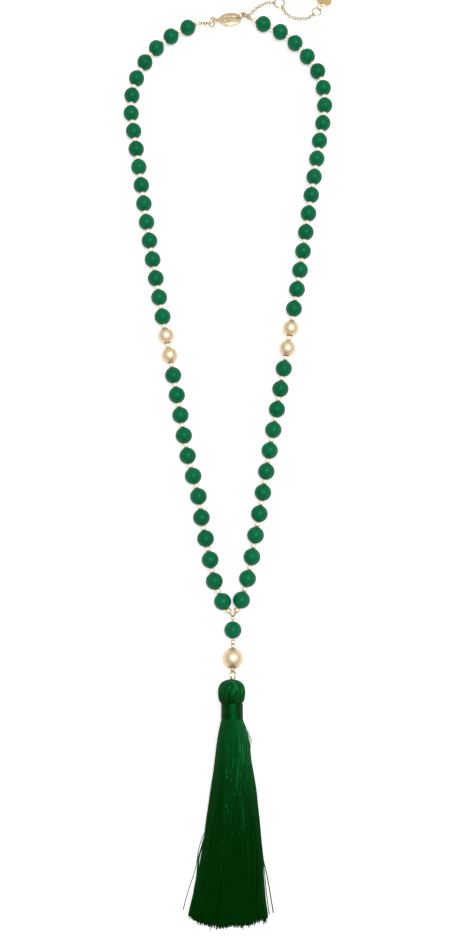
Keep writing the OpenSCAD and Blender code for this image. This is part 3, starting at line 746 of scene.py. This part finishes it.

# The streak group paints light and shade on a tone, in short streaks along Y, as light falls on loose
# threads
streaks = bpy.data.node_groups.new("thread_streaks", "ShaderNodeTree")
streaks.interface.new_socket(name="Vector", in_out="INPUT", socket_type="NodeSocketVector")
streaks.interface.new_socket(name="Tone", in_out="INPUT", socket_type="NodeSocketFloat")
streaks.interface.new_socket(name="Tone", in_out="OUTPUT", socket_type="NodeSocketFloat")
streaks_in = streaks.nodes.new("NodeGroupInput")
streaks_out = streaks.nodes.new("NodeGroupOutput")
drawn_out = streaks.nodes.new("ShaderNodeVectorMath")
drawn_out.operation = "MULTIPLY"
drawn_out.inputs[1].default_value = (1, 0.07, 1)
streak_noise = streaks.nodes.new("ShaderNodeTexNoise")
streak_noise.inputs["Scale"].default_value = 1300
streak_noise.inputs["Detail"].default_value = 3
streak_range = streaks.nodes.new("ShaderNodeMapRange")
streak_range.inputs["From Min"].default_value = 0.38
streak_range.inputs["From Max"].default_value = 0.68
streak_range.inputs["To Min"].default_value = 0.7
streak_range.inputs["To Max"].default_value = 1.4
streak_tone = streaks.nodes.new("ShaderNodeMath")
streak_tone.operation = "MULTIPLY"
for a, b in ((streaks_in.outputs["Vector"], drawn_out.inputs[0]),
             (drawn_out.outputs["Vector"], streak_noise.inputs["Vector"]),
             (streak_noise.outputs["Fac"], streak_range.inputs["Value"]),
             (streak_range.outputs["Result"], streak_tone.inputs[0]),
             (streaks_in.outputs["Tone"], streak_tone.inputs[1]),
             (streak_tone.outputs["Value"], streaks_out.inputs["Tone"])):
    streaks.links.new(a, b)
silk_tree = silk.node_tree
silk_place = silk_tree.nodes.new("ShaderNodeTexCoord")
silk_tone = silk_tree.nodes.new("ShaderNodeAttribute")
silk_tone.attribute_name = "tone_and_light"
silk_streaks = silk_tree.nodes.new("ShaderNodeGroup")
silk_streaks.node_tree = streaks
silk_tree.links.new(silk_place.outputs["Object"], silk_streaks.inputs["Vector"])
silk_tree.links.new(silk_tone.outputs["Fac"], silk_streaks.inputs["Tone"])
# The silk goes from dark to bright green by its tone, which carries painted light, painted shade and painted
# glints
blended(silk, (0.0001, 0.022, 0.0002), (0.012, 0.3, 0.082), silk_streaks.outputs["Tone"])
# The core is darker than the threads and has no shine: painted shade for the depths between them
shaded_silk_core = finish("shaded_silk_core", Base_Color=(0.0002, 0.014, 0.001, 1), Specular_IOR_Level=0.0)
grained(shaded_silk_core, scale=1500, low=0.6, high=0.8, depth=0.0001)

# How far inside their CAD forms the head's and the skirt's threads start, and their gap to the table
HEAD_INSET = 0.0008
SKIRT_INSET = 0.001
CLEAR = 0.0001
tassel_low, tassel_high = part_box("tassel")
wrap_low, wrap_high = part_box("tassel_wrap")
wrap_x = (wrap_low[0] + wrap_high[0]) / 2
wrap_z = (wrap_low[2] + wrap_high[2]) / 2
wrap_r = (wrap_high[0] - wrap_low[0]) / 2
head_top = tassel_high[1] - HEAD_INSET
skirt_top = wrap_low[1] - SKIRT_INSET
skirt_length = skirt_top - tassel_low[1]

# Skirt sections: share of its length, reach to the left and the right, and height, in millimetres
SKIRT = ((-0.04, 4.3, 4.3, 8.6), (0.0, 5.0, 5.1, 9.6), (0.03, 5.7, 6.0, 10.0), (0.07, 6.5, 7.4, 10.0),
         (0.11, 7.1, 8.3, 9.8), (0.19, 8.0, 8.8, 9.3), (0.26, 8.8, 10.1, 8.8), (0.34, 10.0, 11.4, 8.2),
         (0.42, 11.0, 12.1, 7.7), (0.49, 12.1, 12.9, 7.2), (0.57, 13.1, 13.7, 6.7), (0.645, 14.3, 14.4, 6.2),
         (0.72, 15.6, 14.7, 5.8), (0.79, 17.0, 15.1, 5.5), (0.87, 19.0, 15.6, 5.2), (0.93, 20.6, 16.6, 4.8),
         (1.0, 21.2, 17.3, 4.2))
SKIRT_START = 0.0043


def skirt_at(share):
    """The middle of the skirt's section across and up, and its half width and half height.

    Its first tenth comes down from the winding's height to the table.
    """
    rows = np.array(SKIRT)
    left, right, tall = (np.interp(share, rows[:, 0], rows[:, i]) / 1000 for i in (1, 2, 3))
    lift = (wrap_z - SKIRT_START) * max(0.0, 1 - (share + 0.04) / 0.1)
    return wrap_x + (right - left) / 2, tall / 2 + lift + CLEAR, (left + right) / 2, tall / 2


def lofted(name, sections, sides=24):
    """A closed skin through oval sections (x, y, z, half width, half height) across Y."""
    made = []
    for x, y, z, wide, tall in sections:
        bpy.ops.object.select_all(action="DESELECT")
        bpy.ops.mesh.primitive_circle_add(vertices=sides, radius=1, location=(x, y, z),
                                          rotation=(math.pi / 2, 0, 0))
        bpy.context.object.scale = (wide, tall, 1)
        bpy.ops.object.transform_apply(location=True, rotation=True, scale=True)
        made.append(bpy.context.object)
    piece = joined(name, *made)
    only(piece)
    bpy.ops.object.mode_set(mode="EDIT")
    bpy.ops.mesh.select_all(action="SELECT")
    bpy.ops.mesh.bridge_edge_loops()
    bpy.ops.mesh.select_all(action="SELECT")
    bpy.ops.mesh.fill_holes(sides=0)
    bpy.ops.mesh.normals_make_consistent(inside=False)
    bpy.ops.object.mode_set(mode="OBJECT")
    bpy.ops.object.shade_smooth()
    return piece


# The head's outline: share of its length from the top, and radius in millimetres
HEAD = ((0.0, 0.9), (0.04, 2.9), (0.1, 4.3), (0.2, 5.5), (0.34, 6.15), (0.5, 6.4), (0.7, 6.3), (0.88, 5.9),
        (0.97, 5.2), (1.06, 4.4))
HEAD_ASIDE = 0.0002
head_x = wrap_x - HEAD_ASIDE
head_z = tassel_high[2] / 2
head_length = head_top - wrap_high[1]


def head_at(share):
    """The middle of the head's round section as x, y and z, and its radius."""
    rows = np.array(HEAD)
    r = np.interp(share, rows[:, 0], rows[:, 1]) / 1000
    return head_x, head_top - share * head_length, max(r + CLEAR, head_z + (wrap_z - head_z) * share), r


# The core fills the head, the winding and the skirt a little under their threads, and its dark colour
# without shine is painted shade between them
CORE_UNDER = 0.0004
CORE_NECK = 0.0047
CORE_NECK_INSET = 0.0005
core_sections = []
for share in np.linspace(0.03, 1.0, 14):
    x, y, z, r = head_at(share)
    core_sections.append((x, y, z, r - CORE_UNDER, r - CORE_UNDER))
for y in (wrap_high[1] - CORE_NECK_INSET, wrap_low[1] + CORE_NECK_INSET):
    core_sections.append((wrap_x, y, wrap_z, CORE_NECK, CORE_NECK))
for share in np.linspace(0.0, 0.93, 16):
    x, z, wide, tall = skirt_at(share)
    core_sections.append((x, skirt_top - share * skirt_length, z, wide * 0.9, tall * 0.82))
settle(lofted("tassel_core", core_sections), shaded_silk_core, "silk", "tassel")

# Head threads run from under the ring over the bulge to the winding, a few of them askew, their tones
# painted with light and shade
HEAD_COUNT = 520
HEAD_POINTS = 15
HEAD_THREAD = 0.00034
head_paths = []
head_tones_and_light = []
for k in range(HEAD_COUNT):
    angle = math.tau * (k + dice.random()) / HEAD_COUNT
    twist = dice.gauss(0, 0.12)
    if dice.random() < 0.1:
        twist += dice.choice((-1, 1)) * dice.uniform(0.3, 0.7)
    proud = dice.uniform(-0.0005, 0.0)
    start = dice.uniform(0.0, 0.06)
    shine_at, shine = dice.gauss(0.4, 0.25), dice.random() ** 3
    base = dice.uniform(0.02, 0.2)
    path = []
    row = []
    for j in range(HEAD_POINTS):
        share = start + (1.04 - start) * j / (HEAD_POINTS - 1)
        x, y, z, r = head_at(share)
        a = angle + twist * share
        r += proud
        path.append((x + r * math.cos(a), y, z + r * math.sin(a)))
        # Painted shade over the lower part by the winding except on the right, painted light towards the top
        # and the right, and painted glints
        in_shade = math.exp(-((share - 0.95) / 0.22) ** 2) / (1 + math.exp(8 * (math.cos(a) - 0.35)))
        lit = base * (1.15 - 0.6 * share + 0.5 * max(0, math.cos(a)))
        glint = shine * 0.9 * math.exp(-((share - shine_at) / 0.08) ** 2)
        row.append((1 - 0.92 * in_shade) * (lit + glint))
    head_paths.append(path)
    head_tones_and_light.append(row)

# Three threads cross its front, their bright tone a painted glint: degrees round it, and shares of its
# length, at both ends
CROSSING = ((91, 55, 0.03, 0.3), (84, 62, 0.1, 0.42), (70, 78, 0.2, 0.5))
CROSSING_PROUD = 0.0001
CROSSING_GLINT = 0.7
for first, last, low, high in CROSSING:
    path = []
    for j in range(HEAD_POINTS):
        along = j / (HEAD_POINTS - 1)
        a = math.radians(first + (last - first) * along ** 1.5)
        x, y, z, r = head_at(low + (high - low) * along)
        r += CROSSING_PROUD
        path.append((x + r * math.cos(a), y, z + r * math.sin(a)))
    head_paths.append(path)
    head_tones_and_light.append([CROSSING_GLINT] * HEAD_POINTS)
settle(wire("tassel_head_threads", head_paths, HEAD_THREAD, sides=6, tones_and_light=head_tones_and_light), silk, "silk")

# The winding is one thread laid round and round, its turns side by side, with a painted highlight along its
# middle and painted shade at its sides
WINDING_THREAD = 0.00042
WINDING_INSET = 0.0002
SKIRT_GAP = 0.0001
TURNS = 23
TURN_POINTS = 44
wrap_length = wrap_high[1] - (skirt_top + SKIRT_GAP) - 2 * WINDING_INSET
wrap_path = []
wrap_tones_and_light = []
for i in range(TURNS * TURN_POINTS + 1):
    a = math.tau * i / TURN_POINTS
    share = i / (TURNS * TURN_POINTS)
    edge = min(share, 1 - share)
    r = wrap_r - WINDING_INSET - 0.0004 * math.exp(-(edge / 0.03) ** 2)
    r += 0.00006 * math.sin(a * 0.37) * math.sin(a * 0.11)
    y = wrap_high[1] - WINDING_INSET - wrap_length * share
    wrap_path.append((wrap_x + r * math.cos(a), y, wrap_z + r * math.sin(a)))
    # Painted highlight along the winding's middle, darker to its sides
    lit = 0.012 + 0.17 * math.exp(-((math.cos(a) - 0.12) / 0.3) ** 2)
    wrap_tones_and_light.append(lit * (1 + 0.5 * math.sin(i * 0.61) * math.sin(i * 0.043)))
winding = wire("tassel_winding_thread", [wrap_path], WINDING_THREAD, sides=6, tones_and_light=[wrap_tones_and_light])
settle(winding, silk, "silk", "tassel_wrap")

# Skirt threads fill the oval sections in locks that draw together towards the ends. Each lock has
# its place in the section, two waves and an unused draw, and how much longer it is than the rest.
LOCKS = 70
lock_draws = [(dice.uniform(0, math.tau), math.sqrt(dice.random())) for _ in range(LOCKS)]
locks = [(r * math.cos(a), r * math.sin(a)) for a, r in lock_draws]
lock_waves = [(dice.uniform(0, math.tau), dice.uniform(0, math.tau), dice.uniform(-0.35, 0.35))
              for _ in range(LOCKS)]
lock_ends = [dice.gauss(0, 0.007) for _ in range(LOCKS)]

# The degrees round the section at which the crimped threads lie in bunches
BUNCHES = (74, 90, 97, 104, 110)


def cut_share(across):
    """How far down the skirt the threads are cut, over its width from -1 to 1."""
    return 0.979 - (0.04 if across < 0 else 0.031) * abs(across) ** 1.8


def skirt_threads(name, count, low, high, points, thickness, crimp=0.0):
    """Threads between two depths of the section, 1 at its skin, with painted light; crimped ones lie on top
    with painted glints.
    """
    paths = []
    rows = []
    widths = []
    for k in range(count):
        if crimp:
            angle = math.radians(dice.choice(BUNCHES) + dice.gauss(0, 1.6))
        else:
            angle = math.tau * (k + dice.random()) / count
        depth = math.sqrt(dice.uniform(low ** 2, high ** 2))
        p, q = depth * math.cos(angle), depth * math.sin(angle)
        near = min(range(LOCKS), key=lambda i: (locks[i][0] - p) ** 2 + (locks[i][1] - q) ** 2)
        lock_p, lock_q = locks[near]
        wave_a, wave_b, _ = lock_waves[near]
        own = dice.uniform(0, math.tau)
        end = cut_share(p) + lock_ends[near] + dice.gauss(0, 0.006)
        base = dice.uniform(0.4, 1.6)
        shine_at = 0.75 * dice.random()
        if crimp:
            shine = 0.05 + 0.85 * dice.random() ** 2
        else:
            shine = 0.8 * dice.random() ** 5 * math.exp(-((p - 0.05) / 0.6) ** 2)
        path = []
        row = []
        for j in range(points):
            share = -0.03 + (end + 0.03) * j / (points - 1)
            draw = 0.22 * max(0.0, share) ** 0.7
            x, z, wide, tall = skirt_at(share)
            sway = 0.00025 * share * math.sin(6 * share + wave_a)
            sway += 0.0001 * math.sin(17 * share + own) * share
            sway += crimp * math.sin(41 * share + own) * math.sin(17 * share + 2 * own)
            lift = 0.00015 * share * math.sin(8 * share + wave_b)
            u = p + (lock_p - p) * draw * 0.6
            v = q + (lock_q - q) * draw * 0.6
            y = skirt_top - share * skirt_length
            path.append((x + wide * u + sway, y, max(thickness / 2 + CLEAR, z + tall * v + lift)))
            # Painted light: lighter at the top of the skirt and towards its right, with a painted glint on
            # some threads
            lit = 0.012 + (0.14 + 0.08 * p) * math.exp(-(max(0.0, share) / 0.3) ** 2)
            if crimp:
                beat = math.sin((80 + 14 * own) * share + 3 * own) + 0.3 * math.sin(37 * share + 5 * own)
                glint = shine * max(0, beat / 1.15) ** 6 * math.exp(-((share - 0.3) / 0.26) ** 2)
            else:
                glint = shine * math.exp(-((share - shine_at) / 0.045) ** 2)
            row.append(base * lit + glint)
        paths.append(path)
        rows.append(row)
        widths.append([thickness] * (points - 1) + [thickness * 0.6])
    settle(wire(name, paths, widths, sides=4, tones_and_light=rows), silk, "silk")


skirt_threads("tassel_skirt_outer_threads", count=760, low=0.9, high=1.0, points=26, thickness=0.00042)
skirt_threads("tassel_skirt_inner_threads", count=700, low=0.35, high=0.9, points=20, thickness=0.00045)
skirt_threads("tassel_skirt_crimped_threads", count=70, low=1.0, high=1.03, points=120,
              thickness=0.00026, crimp=0.00018)

# A few threads have slipped out of the skirt's sides, and two bulge by the winding: where each bunch
# of them runs, in millimetres, and how many it has
STRAYS = (((-12.0, -204.5, 2.2), (-14.2, -210.5, 1.6), (-15.8, -219.9, 0.7), (-18.5, -227.8, 0.4),
           (-20.3, -233.9, 0.4), (-21.4, -238.2, 0.3)),
          ((-8.9, -196.5, 3.2), (-12.0, -206.5, 1.8), (-13.6, -211.9, 1.2), (-14.6, -215.4, 0.9),
           (-14.9, -219.0, 0.8), (-15.4, -224.2, 0.8), (-16.4, -229.5, 0.9), (-17.2, -236.0, 1.0)),
          ((14.5, -207, 1.6), (15.6, -216.4, 0.8), (16.7, -220.8, 0.5), (17.6, -225.2, 0.4),
           (18.5, -230.4, 0.4), (20.0, -239.5, 0.3)),
          ((14.6, -209.5, 1.2), (16.2, -221.6, 0.6), (17.1, -230.8, 0.5), (18.4, -240.3, 0.4)),
          ((5.7, -152.8, 6.4), (7.6, -156.9, 6.4), (9.0, -159.8, 6.2), (9.8, -162.4, 6.0),
           (9.0, -166.5, 5.6)))
STRAY_COUNTS = (2, 7, 2, 2, 2)
STRAY_THREAD = 0.00026
STRAY_TONE = 0.1
stray_paths = []
for stray, count in zip(STRAYS, STRAY_COUNTS):
    for _ in range(count):
        aside = dice.gauss(0, 0.15)
        spread = [(x + aside * (1 + i * 0.12), y, z) for i, (x, y, z) in enumerate(stray)]
        stray_paths.append(curved([Vector(p) / 1000 for p in spread], parts=5))
stray_tones = [[STRAY_TONE] * len(path) for path in stray_paths]
settle(wire("tassel_stray_threads", stray_paths, STRAY_THREAD, sides=6, tones_and_light=stray_tones), silk, "silk")
